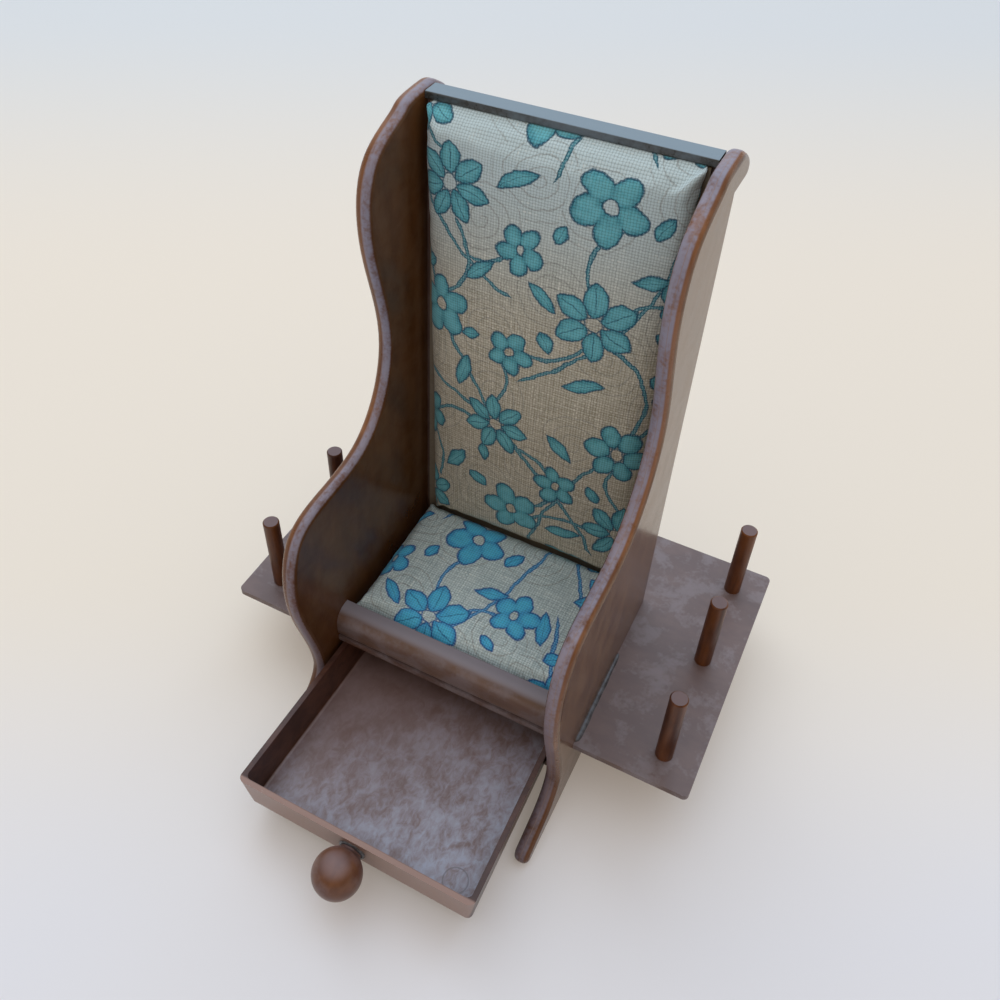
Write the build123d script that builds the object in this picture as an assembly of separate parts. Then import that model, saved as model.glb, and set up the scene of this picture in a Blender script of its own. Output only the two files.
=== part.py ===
from build123d import *
import os

# Sewing caddy shaped as a small armchair: two moulded side panels, a shelf board that runs
# through them with cotton pegs at both ends, two pads, and a drawer under the seat.
# Millimetres. X runs to the chair's left as one sits in it, seen from the front to the right,
# Y runs to the back and Z up. The origin is on the floor, midway between the toes.

# Side panels
inner_width = 75.0
panel_thickness = 4.5
rim_radius = 1.8
foot_length = 109.0
toe_radius = 3.0
toe_height = 8.0
ankle_y = -35.4
ankle_radius = 8.0
heel_y = 49.0
arm_front_y = -42.2
arm_front_height = 59.0
arm_nose_y = -36.0
arm_nose_drop = 6.0
arm_height = 84.2
arm_heel_y = -3.5
waist_y = 12.7
waist_height = 106.0
wing_y = 7.2
wing_height = 152.0
brow_y = 13.6
brow_drop = 7.8
temple_y = 25.5
temple_drop = 2.3
back_height = 175.5
crown_y = 39.6
scroll_shoulder_y = 44.8
scroll_shoulder_drop = 1.8
scroll_tip_y = 49.6
scroll_tip_drop = 6.6
scroll_low_y = 46.6
scroll_low_drop = 9.8
rear_foot_y = 32.6
rear_top_y = 39.2

# Shelf board and pegs
shelf_width = 152.0
shelf_depth = 85.8
shelf_thickness = 2.0
shelf_front_y = -25.8
shelf_top = 23.0
shelf_corner_radius = 1.6
slot_clearance = 0.1
peg_diameter = 5.1
peg_height = 28.6
peg_chamfer = 0.35
peg_side_inset = 10.2
peg_front_inset = 9.6
peg_middle_from_front = 44.9
peg_back_inset = 10.0
spigot_diameter = 3.4
spigot_clearance = 0.05

# Rails and back board
crest_depth = 5.8
crest_thickness = 2.0
crest_drop = 0.8
crest_overhang = 1.4
crest_edge_radius = 0.4
seat_rail_height = 10.5
seat_rail_depth = 6.5
seat_rail_nose_radius = 5.0
seat_rail_edge_radius = 2.2
back_board_thickness = 2.0

# Pads
card_thickness = 1.2
pad_side_gap = 1.4
pad_seat_gap = 0.3
seat_pad_front_height = 8.0
seat_pad_back_height = 9.8
seat_pad_crown = 2.2
back_pad_edge_height = 4.2
back_pad_crown = 3.4
pad_side_tuck = 2.0
pad_end_crown_share = 0.35
pad_end_roll = 2.0
pad_end_share = 0.55

# Drawer and its bay
tray_side_clearance = 0.45
tray_taper = 3.1
tray_height = 13.4
tray_wall = 1.6
tray_floor = 1.8
tray_draft = 1.4
tray_corner_radius = 2.0
tray_foot_radius = 1.0
tray_top_clearance = 0.4
tray_floor_clearance = 0.3
tray_back_clearance = 1.0
closed_front_overhang = 0.8
bay_back_inset = 13.6
photographed_opening = 51.4
bay_board_thickness = 2.0

# Knob, its collar and the bead beside the right panel
knob_diameter = 13.8
knob_rise = 0.6
knob_neck_diameter = 6.4
knob_neck_length = 0.6
knob_spigot_diameter = 3.4
collar_width = 1.3
collar_rim_width = 0.4
collar_length = 0.7
bead_length = 34.0
bead_width = 2.2
bead_height = 1.1
bead_front_inset = 1.0
bead_front_share = 0.55
bead_back_share = 0.25
bead_bulge = 0.68

# Derived places
panel_inside = inner_width / 2
panel_outside = panel_inside + panel_thickness
shelf_back_y = shelf_front_y + shelf_depth
shelf_underside = shelf_top - shelf_thickness
toe_y = foot_length / 2
tray_front_width = inner_width - 2 * tray_side_clearance
tray_back_width = tray_front_width - tray_taper
tray_top = shelf_underside - tray_top_clearance
tray_bottom = tray_top - tray_height
bay_floor_top = tray_bottom - tray_floor_clearance
bay_floor_bottom = bay_floor_top - bay_board_thickness
closed_front_y = shelf_front_y - closed_front_overhang
tray_front_y = closed_front_y - photographed_opening
bay_back_y = shelf_back_y - bay_back_inset
tray_length = bay_back_y - tray_back_clearance - closed_front_y
tray_back_y = tray_front_y + tray_length
crest_top = back_height - crest_drop
crest_bottom = crest_top - crest_thickness
rear_lean = (rear_top_y - rear_foot_y) / (back_height - shelf_top)
seat_rail_back_y = shelf_front_y + seat_rail_depth
knob_z = tray_bottom + tray_height / 2 + knob_rise
pad_half_width = panel_inside - pad_side_gap


def rear_y(z):
    """The Y of the panels' rear edge, and of the back board's rear face, at height z."""
    return rear_foot_y + rear_lean * (z - shelf_top)


def board_front_y(z):
    return rear_y(z) - back_board_thickness


def panel_outline():
    """The chair's side view: foot, front leg, arm, wing, scroll and rear edge."""
    scroll_underside = back_height - scroll_low_drop
    rear_top = (rear_y(scroll_underside), scroll_underside)
    foot = Line((-toe_y + toe_radius, 0), (toe_y - toe_radius, 0))
    toe_top_front = (-toe_y + toe_radius, 2 * toe_radius)
    front_toe = ThreePointArc(toe_top_front, (-toe_y, toe_radius), foot @ 0)
    instep = (ankle_y - ankle_radius, toe_height)
    toe_ramp = Line(toe_top_front, instep)
    ankle = (ankle_y, toe_height + ankle_radius)
    ankle_arc = TangentArc(instep, ankle, tangent=toe_ramp % 1)
    front = Spline(
        ankle_arc @ 1,
        (ankle_y, shelf_underside),
        (arm_front_y, arm_front_height),
        (arm_nose_y, arm_height - arm_nose_drop),
        (arm_heel_y, arm_height),
        (waist_y, waist_height),
        (wing_y, wing_height),
        (brow_y, back_height - brow_drop),
        (temple_y, back_height - temple_drop),
        (crown_y, back_height),
        tangents=[ankle_arc % 1, (1, 0)],
    )
    scroll = Spline(
        front @ 1,
        (scroll_shoulder_y, back_height - scroll_shoulder_drop),
        (scroll_tip_y, back_height - scroll_tip_drop),
        (scroll_low_y, scroll_underside),
        tangents=[(1, 0), (-1, 0)],
    )
    underside = Line(scroll @ 1, rear_top)
    rear = Line(rear_top, (rear_foot_y, shelf_top))
    base_top = Line(rear @ 1, (heel_y, shelf_top))
    heel = Line(base_top @ 1, (heel_y, toe_height))
    toe_top_back = (toe_y - toe_radius, 2 * toe_radius)
    heel_ramp = Line(heel @ 1, toe_top_back)
    back_toe = ThreePointArc(toe_top_back, (toe_y, toe_radius), foot @ 1)
    return Wire(
        [foot, front_toe, toe_ramp, ankle_arc, front, scroll, underside, rear]
        + [base_top, heel, heel_ramp, back_toe]
    )


def side_panel():
    """The right panel: rounded rims, and a slot open at the rear that takes the shelf board."""
    face = Plane.YZ.offset(panel_inside) * make_face(panel_outline())
    panel = extrude(face, panel_thickness)
    side_faces = panel.faces().filter_by(Axis.X)
    panel = fillet(side_faces.edges(), rim_radius)
    slot_height = shelf_thickness + slot_clearance
    slot = Box(
        2 * panel_outside,
        2 * shelf_depth,
        slot_height,
        align=(Align.CENTER, Align.MIN, Align.MIN),
    )
    return panel - Pos(0, shelf_front_y, shelf_underside) * slot


def peg_places():
    x = shelf_width / 2 - peg_side_inset
    places = {}
    for side, sign in (("left", -1), ("right", 1)):
        places[f"{side}_front"] = (sign * x, shelf_front_y + peg_front_inset)
        places[f"{side}_middle"] = (sign * x, shelf_front_y + peg_middle_from_front)
        places[f"{side}_back"] = (sign * x, shelf_back_y - peg_back_inset)
    return places


def shelf_board():
    board = Pos(0, (shelf_front_y + shelf_back_y) / 2, shelf_underside) * extrude(
        RectangleRounded(shelf_width, shelf_depth, shelf_corner_radius), shelf_thickness
    )
    hole = Cylinder(spigot_diameter / 2 + spigot_clearance, 3 * shelf_thickness)
    for x, y in peg_places().values():
        board -= Pos(x, y, shelf_underside) * hole
    return board


def spool_peg(x, y):
    seat = (Align.CENTER, Align.CENTER, Align.MIN)
    stem = Cylinder(peg_diameter / 2, peg_height, align=seat)
    stem = chamfer(stem.edges().group_by(Axis.Z)[-1], peg_chamfer)
    spigot = Pos(0, 0, -shelf_thickness) * Cylinder(spigot_diameter / 2, shelf_thickness, align=seat)
    return Pos(x, y, shelf_top) * (stem + spigot)


def crest_rail():
    front_y = board_front_y(crest_bottom) - crest_overhang
    rail = Pos(0, front_y, crest_bottom) * Box(
        inner_width, crest_depth, crest_thickness, align=(Align.CENTER, Align.MIN, Align.MIN)
    )
    return fillet(rail.edges().filter_by(Axis.X), crest_edge_radius)


def seat_rail():
    """A bar with a round nose, standing on the shelf board's front edge."""
    bar = Pos(0, shelf_front_y, shelf_top) * Box(
        inner_width, seat_rail_depth, seat_rail_height, align=(Align.CENTER, Align.MIN, Align.MIN)
    )
    long_edges = bar.edges().filter_by(Axis.X)
    nose = long_edges.group_by(Axis.Z)[-1].sort_by(Axis.Y)[0]
    bar = fillet(nose, seat_rail_nose_radius)
    lower_front = bar.edges().filter_by(Axis.X).group_by(Axis.Z)[0].sort_by(Axis.Y)[0]
    return fillet(lower_front, seat_rail_edge_radius)


def leaning_slab(front_offset, thickness, bottom, top, half_width):
    """A slab parallel to the back board, front_offset in front of the board's front face."""
    points = [
        (board_front_y(bottom) - front_offset, bottom),
        (board_front_y(bottom) - front_offset + thickness, bottom),
        (board_front_y(top) - front_offset + thickness, top),
        (board_front_y(top) - front_offset, top),
    ]
    face = Plane.YZ.offset(-half_width) * make_face(Polyline(*points, close=True))
    return extrude(face, 2 * half_width)


def back_board():
    return leaning_slab(0, back_board_thickness, shelf_top, crest_bottom, panel_inside)


def back_card():
    bottom = shelf_top + card_thickness + pad_seat_gap
    return leaning_slab(
        card_thickness, card_thickness, bottom, crest_bottom - pad_seat_gap, pad_half_width
    )


def seat_card():
    length = board_front_y(shelf_top) - pad_seat_gap - seat_rail_back_y - pad_seat_gap
    return Pos(0, seat_rail_back_y + pad_seat_gap, shelf_top) * Box(
        2 * pad_half_width, length, card_thickness, align=(Align.CENTER, Align.MIN, Align.MIN)
    )


def pad_section(along, height, crown, share=1.0):
    """A pad's cross-section: flat below, swelling sides and a crowned top."""
    plane = Plane(origin=(0, along, 0), x_dir=(1, 0, 0), z_dir=(0, -1, 0))
    foot = pad_half_width - pad_side_tuck
    side = foot + pad_side_tuck * share
    top = height * share
    right_side = ThreePointArc((foot, 0), (side, top / 2), (foot, top))
    cover = ThreePointArc((foot, top), (0, top + crown), (-foot, top))
    left_side = ThreePointArc((-foot, top), (-side, top / 2), (-foot, 0))
    floor = Line((-foot, 0), (foot, 0))
    return plane * make_face(Wire([right_side, cover, left_side, floor]))


def pad(length, start_height, end_height, crown):
    """A crowned pad along +Y from 0 to length, lying on z = 0, with rolled ends."""
    rise = (end_height - start_height) / length
    end_crown = crown * pad_end_crown_share
    first = pad_section(pad_end_roll, start_height + rise * pad_end_roll, end_crown)
    middle = pad_section(length / 2, start_height + rise * length / 2, crown)
    last_at = length - pad_end_roll
    last = pad_section(last_at, start_height + rise * last_at, end_crown)
    start = pad_section(0, start_height, end_crown, pad_end_share)
    end = pad_section(length, end_height, end_crown, pad_end_share)
    body = loft([first, middle, last])
    body += loft([start, first], ruled=True)
    body += loft([last, end], ruled=True)
    return body


def seat_pad():
    front_y = seat_rail_back_y + pad_seat_gap
    base_z = shelf_top + card_thickness
    back_y = board_front_y(base_z) - card_thickness - pad_seat_gap
    body = pad(back_y - front_y, seat_pad_front_height, seat_pad_back_height, seat_pad_crown)
    return Pos(0, front_y, base_z) * body


def back_pad():
    seat_back_height = seat_pad_back_height + seat_pad_crown * pad_end_crown_share
    bottom = shelf_top + card_thickness + seat_back_height + pad_seat_gap
    top = crest_bottom - pad_seat_gap
    direction = Vector(0, board_front_y(top) - board_front_y(bottom), top - bottom)
    body = pad(direction.length, back_pad_edge_height, back_pad_edge_height, back_pad_crown)
    start = (0, board_front_y(bottom) - card_thickness, bottom)
    frame = Plane(origin=start, x_dir=(1, 0, 0), z_dir=Vector(1, 0, 0).cross(direction))
    return frame.location * body


def tray_section(z, inset):
    """The tray's plan at height z, drawn inset from its rim: a little narrower at the back."""
    front = tray_front_width / 2 - inset
    back = tray_back_width / 2 - inset
    corners = [
        (-front, tray_front_y + inset),
        (front, tray_front_y + inset),
        (back, tray_back_y - inset),
        (-back, tray_back_y - inset),
    ]
    plan = Plane.XY.offset(z) * make_face(Polyline(*corners, close=True))
    return fillet(plan.vertices(), max(tray_corner_radius - inset / 4, tray_wall / 2))


def tray_solid():
    body = loft([tray_section(tray_bottom, tray_draft), tray_section(tray_top, 0)])
    return fillet(body.edges().group_by(Axis.Z)[0], tray_foot_radius)


def tray_front_at(z):
    """The Y of the tray's sloping front face at height z."""
    return tray_front_y + tray_draft * (tray_top - z) / tray_height


def drawer_tray():
    floor_z = tray_bottom + tray_floor
    floor_inset = tray_wall + tray_draft * (1 - tray_floor / tray_height)
    hollow = loft([tray_section(floor_z, floor_inset), tray_section(tray_top, tray_wall)])
    hollow = fillet(hollow.edges().group_by(Axis.Z)[0], tray_foot_radius)
    hole = Cylinder(knob_spigot_diameter / 2 + spigot_clearance, 4 * tray_wall)
    hole = Pos(0, tray_front_at(knob_z) + tray_wall / 2, knob_z) * Rot(90, 0, 0) * hole
    return tray_solid() - hollow - hole


def drawer_knob():
    """A ball on a short neck, with a spigot through the tray's front wall."""
    wall_y = tray_front_at(knob_z)
    ball_y = wall_y - knob_neck_length - knob_diameter / 2
    ball = Pos(0, ball_y, knob_z) * Sphere(knob_diameter / 2)
    neck_length = knob_neck_length + knob_diameter / 2 + tray_wall / 2
    neck = Cylinder(knob_neck_diameter / 2, neck_length, align=(Align.CENTER, Align.CENTER, Align.MIN))
    neck = Pos(0, ball_y + neck_length, knob_z) * Rot(90, 0, 0) * neck
    spigot_length = tray_wall + knob_neck_length
    spigot = Cylinder(
        knob_spigot_diameter / 2, spigot_length, align=(Align.CENTER, Align.CENTER, Align.MIN)
    )
    spigot = Pos(0, wall_y + tray_wall, knob_z) * Rot(90, 0, 0) * spigot
    return (ball + neck - tray_solid()) + spigot


def knob_collar():
    """The ring of set glue where the neck meets the tray."""
    wall_y = tray_front_at(knob_z)
    ring_length = collar_length + tray_wall / 2
    seat = (Align.CENTER, Align.CENTER, Align.MIN)
    outer = Cone(
        knob_neck_diameter / 2 + collar_width,
        knob_neck_diameter / 2 + collar_rim_width,
        ring_length,
        align=seat,
    )
    bore = Cylinder(knob_neck_diameter / 2, 3 * ring_length)
    ring = Pos(0, wall_y + tray_wall / 2, knob_z) * Rot(90, 0, 0) * (outer - bore)
    return ring - tray_solid()


def bay_floor():
    return Pos(0, shelf_front_y, bay_floor_bottom) * Box(
        inner_width,
        bay_back_y + bay_board_thickness - shelf_front_y,
        bay_board_thickness,
        align=(Align.CENTER, Align.MIN, Align.MIN),
    )


def bay_back():
    return Pos(0, bay_back_y, bay_floor_top) * Box(
        inner_width,
        bay_board_thickness,
        shelf_underside - bay_floor_top,
        align=(Align.CENTER, Align.MIN, Align.MIN),
    )


def joint_bead():
    """A tapering bead in the corner between the right panel and the shelf board."""
    sections = []
    front_y = shelf_front_y + bead_front_inset
    for along, share in ((0, bead_front_share), (0.5, 1), (1, bead_back_share)):
        y = front_y + bead_length * along
        plane = Plane(origin=(panel_outside, y, shelf_top), x_dir=(1, 0, 0), z_dir=(0, -1, 0))
        width = bead_width * share
        height = bead_height * share
        crown = ThreePointArc((width, 0), (width * bead_bulge, height * bead_bulge), (0, height))
        sides = Polyline((0, height), (0, 0), (width, 0))
        sections.append(plane * make_face(Wire([crown] + sides.edges())))
    return loft(sections)


def main():
    os.makedirs("parts", exist_ok=True)
    right_panel = side_panel()
    nodes = {
        "side_panel_right": right_panel,
        "side_panel_left": mirror(right_panel, about=Plane.YZ),
        "shelf_board": shelf_board(),
        "crest_rail": crest_rail(),
        "seat_rail": seat_rail(),
        "back_board": back_board(),
        "back_card": back_card(),
        "seat_card": seat_card(),
        "back_pad": back_pad(),
        "seat_pad": seat_pad(),
        "bay_floor": bay_floor(),
        "bay_back": bay_back(),
        "drawer_tray": drawer_tray(),
        "drawer_knob": drawer_knob(),
        "knob_collar": knob_collar(),
        "joint_bead": joint_bead(),
    }
    for place, (x, y) in peg_places().items():
        nodes[f"spool_peg_{place}"] = spool_peg(x, y)
    for name, shape in nodes.items():
        export_step(shape, f"parts/{name}.step")


main()
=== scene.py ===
# %% [markdown]
# # A sewing caddy in the shape of an armchair
# The caddy is a small wing chair of dark, streaky brown plastic. Cotton reels stand on pegs beside
# it, pins go into its padded seat and back, and a drawer slides out under the seat. The rigid
# pieces come ready from the imported model, so this lesson loads them first. Everything after
# that is finish, cloth, set glue and light.

import math

import bmesh
import bpy
from mathutils import Matrix, Vector, noise


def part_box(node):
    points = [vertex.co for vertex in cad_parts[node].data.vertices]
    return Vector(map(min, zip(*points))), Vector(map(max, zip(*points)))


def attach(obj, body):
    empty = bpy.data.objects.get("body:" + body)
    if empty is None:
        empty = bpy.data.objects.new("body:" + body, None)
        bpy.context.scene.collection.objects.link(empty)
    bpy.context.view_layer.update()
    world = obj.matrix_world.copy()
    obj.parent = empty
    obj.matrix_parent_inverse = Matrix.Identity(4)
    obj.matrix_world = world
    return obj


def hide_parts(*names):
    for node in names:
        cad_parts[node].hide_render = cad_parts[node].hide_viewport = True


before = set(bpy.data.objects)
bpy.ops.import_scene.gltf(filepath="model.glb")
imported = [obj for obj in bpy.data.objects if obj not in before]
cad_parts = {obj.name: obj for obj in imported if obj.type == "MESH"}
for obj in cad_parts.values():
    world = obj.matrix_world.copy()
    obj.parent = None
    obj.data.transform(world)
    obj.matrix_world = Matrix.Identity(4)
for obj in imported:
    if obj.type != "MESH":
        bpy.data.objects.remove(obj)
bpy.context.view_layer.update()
MM = 0.001
scene = bpy.context.scene
scene.view_settings.view_transform = "Standard"

# %% [markdown]
# ## The camera
# The photograph was taken from above, a little to the right, with the picture cropped off centre.
# Points on the model and in the picture gave the place, the turn and the focal length. The crop
# becomes a small lens shift, because a shift slides the picture without turning the view.

# %% Camera
YAW, PITCH, ROLL = -0.4727, 0.7501, 0.0133
CAMERA_PLACE = Vector((80.34, -166.38, 278.24)) * MM
FOCAL_PIXELS = 977.5
PICTURE_PIXELS = 1000
AXIS_PIXEL = (472.5, 429.1)

camera = bpy.data.objects.new("camera", bpy.data.cameras.new("camera"))
scene.collection.objects.link(camera)
camera.data.lens = camera.data.sensor_width * FOCAL_PIXELS / PICTURE_PIXELS
camera.data.shift_x = 0.5 - AXIS_PIXEL[0] / PICTURE_PIXELS
camera.data.shift_y = AXIS_PIXEL[1] / PICTURE_PIXELS - 0.5
camera.data.clip_start = 0.01
camera.matrix_world = (
    Matrix.Translation(CAMERA_PLACE)
    @ Matrix.Rotation(-YAW, 4, "Z")
    @ Matrix.Rotation(math.pi / 2 - PITCH, 4, "X")
    @ Matrix.Rotation(ROLL, 4, "Z")
)
scene.camera = camera
print("lens", round(camera.data.lens, 2), "mm")

# %% [markdown]
# ## Maths with nodes
# A finish is a small program made of nodes. Wiring each Math node by hand hides what it computes,
# so a value that leaves a node is wrapped in a class with the usual operators: `1 - mask * 0.5`
# adds the nodes that it needs.


# %% A number that flows through a material
class Flow:
    def __init__(self, finish, socket):
        self.finish = finish
        self.socket = socket

    def math(self, operation, *others):
        return self.finish.node("Math", {"operation": operation}, dict(enumerate((self, *others))))

    def __add__(self, other):
        return self.math("ADD", other)

    def __sub__(self, other):
        return self.math("SUBTRACT", other)

    def __mul__(self, other):
        return self.math("MULTIPLY", other)

    def __rsub__(self, other):
        return self.finish.node("Math", {"operation": "SUBTRACT"}, {0: other, 1: self})

    __radd__ = __add__

    def __abs__(self):
        return self.math("ABSOLUTE")

    def least(self, other):
        return self.math("MINIMUM", other)

    def most(self, other):
        return self.math("MAXIMUM", other)

    def step(self, start, end):
        """A smooth step: 0 below start, 1 above end, and the other way round if end is lower."""
        settings = {"interpolation_type": "SMOOTHSTEP"}
        sockets = {"Value": self, "From Min": min(start, end), "From Max": max(start, end)}
        if end < start:
            sockets.update({"To Min": 1.0, "To Max": 0.0})
        return self.finish.node("MapRange", settings, sockets)


# %% A finish: one material and the nodes in it
class Finish:
    def __init__(self, name):
        self.material = bpy.data.materials.new(name)
        self.material.use_nodes = True
        self.tree = self.material.node_tree
        self.shader = self.tree.nodes["Principled BSDF"]

    def plug(self, target, value):
        if isinstance(value, Flow):
            self.tree.links.new(value.socket, target)
        else:
            target.default_value = value

    def node(self, kind, settings, sockets, out=0):
        """Adds a node, sets it up, and then gives its sockets their values or links."""
        made = self.tree.nodes.new("ShaderNode" + kind)
        for key, value in settings.items():
            setattr(made, key, value)
        for key, value in sockets.items():
            self.plug(made.inputs[key], value)
        return Flow(self, made.outputs[out])

    def place(self):
        """Where the surface is, in metres from the object's origin."""
        return self.node("TexCoord", {}, {}, "Object")

    def vector(self, operation, *values, out=0):
        sockets = dict(enumerate(values))
        return self.node("VectorMath", {"operation": operation}, sockets, out)

    def scaled(self, place, x, y, z):
        return self.vector("MULTIPLY", place, (x, y, z))

    def noise(self, place, scale, detail=3.0, roughness=0.5, distortion=0.0, out=0):
        sockets = {
            "Vector": place,
            "Scale": scale,
            "Detail": detail,
            "Roughness": roughness,
            "Distortion": distortion,
        }
        return self.node("TexNoise", {}, sockets, out)

    def split(self, place):
        return [self.node("SeparateXYZ", {}, {0: place}, axis) for axis in range(3)]

    def facing(self, axis):
        """How much the surface faces along an axis, where 0 is X and 2 is Z."""
        return self.split(self.node("NewGeometry", {}, {}, "Normal"))[axis]

    def mix(self, mask, low, high):
        """A colour between low and high."""
        made = self.tree.nodes.new("ShaderNodeMix")
        made.data_type = "RGBA"
        for socket, value in ((0, mask), (6, low), (7, high)):
            if isinstance(value, tuple):
                value = (*value, 1.0)
            self.plug(made.inputs[socket], value)
        return Flow(self, made.outputs[2])

    def bump(self, height, distance, strength=1.0):
        sockets = {"Height": height, "Distance": distance, "Strength": strength}
        return self.node("Bump", {}, sockets)

    def set(self, **sockets):
        """Fills the Principled shader's sockets: base_color is Base Color, and so on."""
        for key, value in sockets.items():
            name = key.replace("_", " ").title().replace("Ior", "IOR")
            if isinstance(value, tuple):
                value = (*value, 1.0)
            self.plug(self.shader.inputs[name], value)
        return self.material


def wear(node, material):
    """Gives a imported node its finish."""
    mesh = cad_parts[node].data
    mesh.materials.clear()
    mesh.materials.append(material)


print("shader helpers ready")

# %% [markdown]
# ## Streaky brown plastic
# The chair was moulded from two browns that didn't quite mix, so orange-brown streaks run through
# a dark one along the way it flowed, and years of handling left a thin bloom that looks grey
# wherever the sky is reflected. Noise stretched along the flow gives the streaks. The bloom is
# a patchy lift of colour and roughness. Faces that look up are painted towards the bloom's colour
# too, as a painted reflection of the sky. The mould's two halves met in the middle of each rim,
# which left a fine raised line there.

# %% Brown plastic
PANEL_MIDDLE_X = 39.75 * MM
PARTING_LINE_WIDTH = 0.2 * MM
STREAK_BUMP = 0.03 * MM


def streaky(finish, place, flow):
    """Pigment streaks, patches and specks. flow squeezes the streaks along X, Y and Z."""
    along = finish.scaled(place, *flow)
    streaks = finish.noise(along, 420.0, 4.0, 0.55, 0.3)
    drift = finish.noise(along, 90.0, 2.0, 0.5, 0.6)
    patches = finish.noise(place, 120.0, 4.0, 0.55, 0.3)
    specks = finish.noise(place, 900.0, 2.0, 0.5)
    return streaks, (streaks * 0.5 + drift * 0.6).step(0.4, 0.72), patches, specks


def brown_plastic(name, flow, dark, light, bloom, bloom_amount, gloss, painted_top_sheen, ior=1.5):
    """The argument after gloss is how much of the bloom's colour is painted on what faces up, a
    painted sky reflection.
    """
    finish = Finish(name)
    streaks, pigment, patches, specks = streaky(finish, finish.place(), flow)
    up = finish.facing(2)
    haze = (patches * 0.8 + specks * 0.2).step(0.38, 0.64) * bloom_amount
    # Faces that look up are painted towards the bloom's colour, a painted reflection of the sky.
    haze = haze.most(up.step(0.7, 0.98) * painted_top_sheen)
    colour = finish.mix(haze, finish.mix(pigment, dark, light), bloom)
    height = streaks * 0.2 + patches * 0.5
    return finish.set(
        base_color=colour,
        roughness=gloss + haze * 0.25 + specks * 0.06,
        normal=finish.bump(height, STREAK_BUMP, 0.3),
        ior=ior,
    )


# Each bloom colour below is also painted on faces that look up as a painted sky reflection; on the
# crest it gives the bluish top.
board_finish = brown_plastic(
    "board_plastic",
    flow=(0.5, 1.0, 1.0),
    dark=(0.1, 0.05, 0.036),
    light=(0.145, 0.08, 0.06),
    bloom=(0.27, 0.235, 0.25),
    bloom_amount=0.7,
    gloss=0.28,
    painted_top_sheen=0.3,
)
dull_board_finish = brown_plastic(
    "dull_board_plastic",
    flow=(1.0, 1.0, 0.25),
    dark=(0.07, 0.033, 0.022),
    light=(0.11, 0.056, 0.038),
    bloom=(0.17, 0.12, 0.1),
    bloom_amount=0.45,
    gloss=0.34,
    painted_top_sheen=0.3,
)
rail_finish = brown_plastic(
    "rail_plastic",
    flow=(0.12, 1.0, 1.0),
    dark=(0.14, 0.08, 0.056),
    light=(0.19, 0.115, 0.084),
    bloom=(0.28, 0.26, 0.3),
    bloom_amount=0.35,
    gloss=0.3,
    painted_top_sheen=0.85,
)
crest_finish = brown_plastic(
    "crest_plastic",
    flow=(0.12, 1.0, 1.0),
    dark=(0.035, 0.036, 0.033),
    light=(0.06, 0.062, 0.056),
    bloom=(0.29, 0.41, 0.5),
    bloom_amount=0.25,
    gloss=0.24,
    painted_top_sheen=0.6,
)

# %% [markdown]
# ## The panels' rims
# On the rims the plastic is thin and rubbed, so it is more orange outside the parting line, where
# the hand goes, and a mauve bloom lies on the inner half, thickest near the top. On the right
# panel that bloom reaches further out. The feet are darker. The faces that look outwards are
# painted lighter and warmer, patchy with the haze, as a painted glow of light bounced off the
# floor. The shader knows a rim by its normal, which doesn't point sideways as the panel's faces
# do, and it knows the rest by the place on the panel.


# %% Panel plastic
RIGHT_BLOOM_SHIFT = 0.9 * MM
FOOT_TOP, FOOT_BOTTOM = 48 * MM, 4 * MM


def panel_plastic():
    finish = Finish("panel_plastic")
    place = finish.place()
    streaks, pigment, patches, specks = streaky(finish, place, (1.0, 0.5, 0.16))
    x, _, z = finish.split(place)
    rim = abs(finish.facing(0)).step(0.93, 0.72)
    edge = abs(x) - PANEL_MIDDLE_X
    inner = edge - x.step(-MM, MM) * RIGHT_BLOOM_SHIFT
    inner = inner.step(0.4 * MM, -0.1 * MM) * rim
    haze = (patches * 0.85 + specks * 0.15).step(0.36, 0.66) * 0.3
    face = finish.mix(pigment, (0.085, 0.03, 0.008), (0.13, 0.052, 0.016))
    face = finish.mix(haze, face, (0.16, 0.09, 0.048))
    # The outer faces are painted lighter and warmer, patchy with the haze: a painted glow of light
    # from the floor.
    outside = edge.step(0.5 * MM, 1.5 * MM) * (0.15 + haze * 1.1)
    face = finish.mix(outside, face, (0.27, 0.155, 0.085))
    rubbed = finish.mix(pigment, (0.16, 0.06, 0.022), (0.3, 0.13, 0.055))
    colour = finish.mix(rim * 0.85, face, rubbed)
    foot = z.step(FOOT_TOP, FOOT_BOTTOM)
    colour = finish.mix(foot * 0.7, colour, (0.09, 0.032, 0.012))
    bloom = inner * (patches * 0.3 + streaks * 0.4 + specks * 0.3).step(0.3, 0.58)
    high = z.step(20 * MM, 110 * MM)
    colour = finish.mix(bloom * (0.4 + high * 0.4), colour, (0.31, 0.32, 0.42))
    parting = abs(edge).step(PARTING_LINE_WIDTH, 0.0) * rim
    colour = finish.mix(parting * 0.5, colour, (0.3, 0.19, 0.14))
    height = streaks * 0.2 + patches * 0.4 + parting * 1.5
    return finish.set(
        base_color=colour,
        roughness=0.2 + haze * 0.15 + rim * 0.06 + bloom * 0.15,
        normal=finish.bump(height, STREAK_BUMP, 0.3),
        ior=1.38,
    )


panel_finish = panel_plastic()
for node in ("side_panel_left", "side_panel_right"):
    wear(node, panel_finish)
for node in ("back_board", "bay_floor", "bay_back"):
    wear(node, dull_board_finish)
wear("shelf_board", board_finish)
wear("seat_rail", rail_finish)
wear("crest_rail", crest_finish)
print("brown plastics on the chair")
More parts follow.
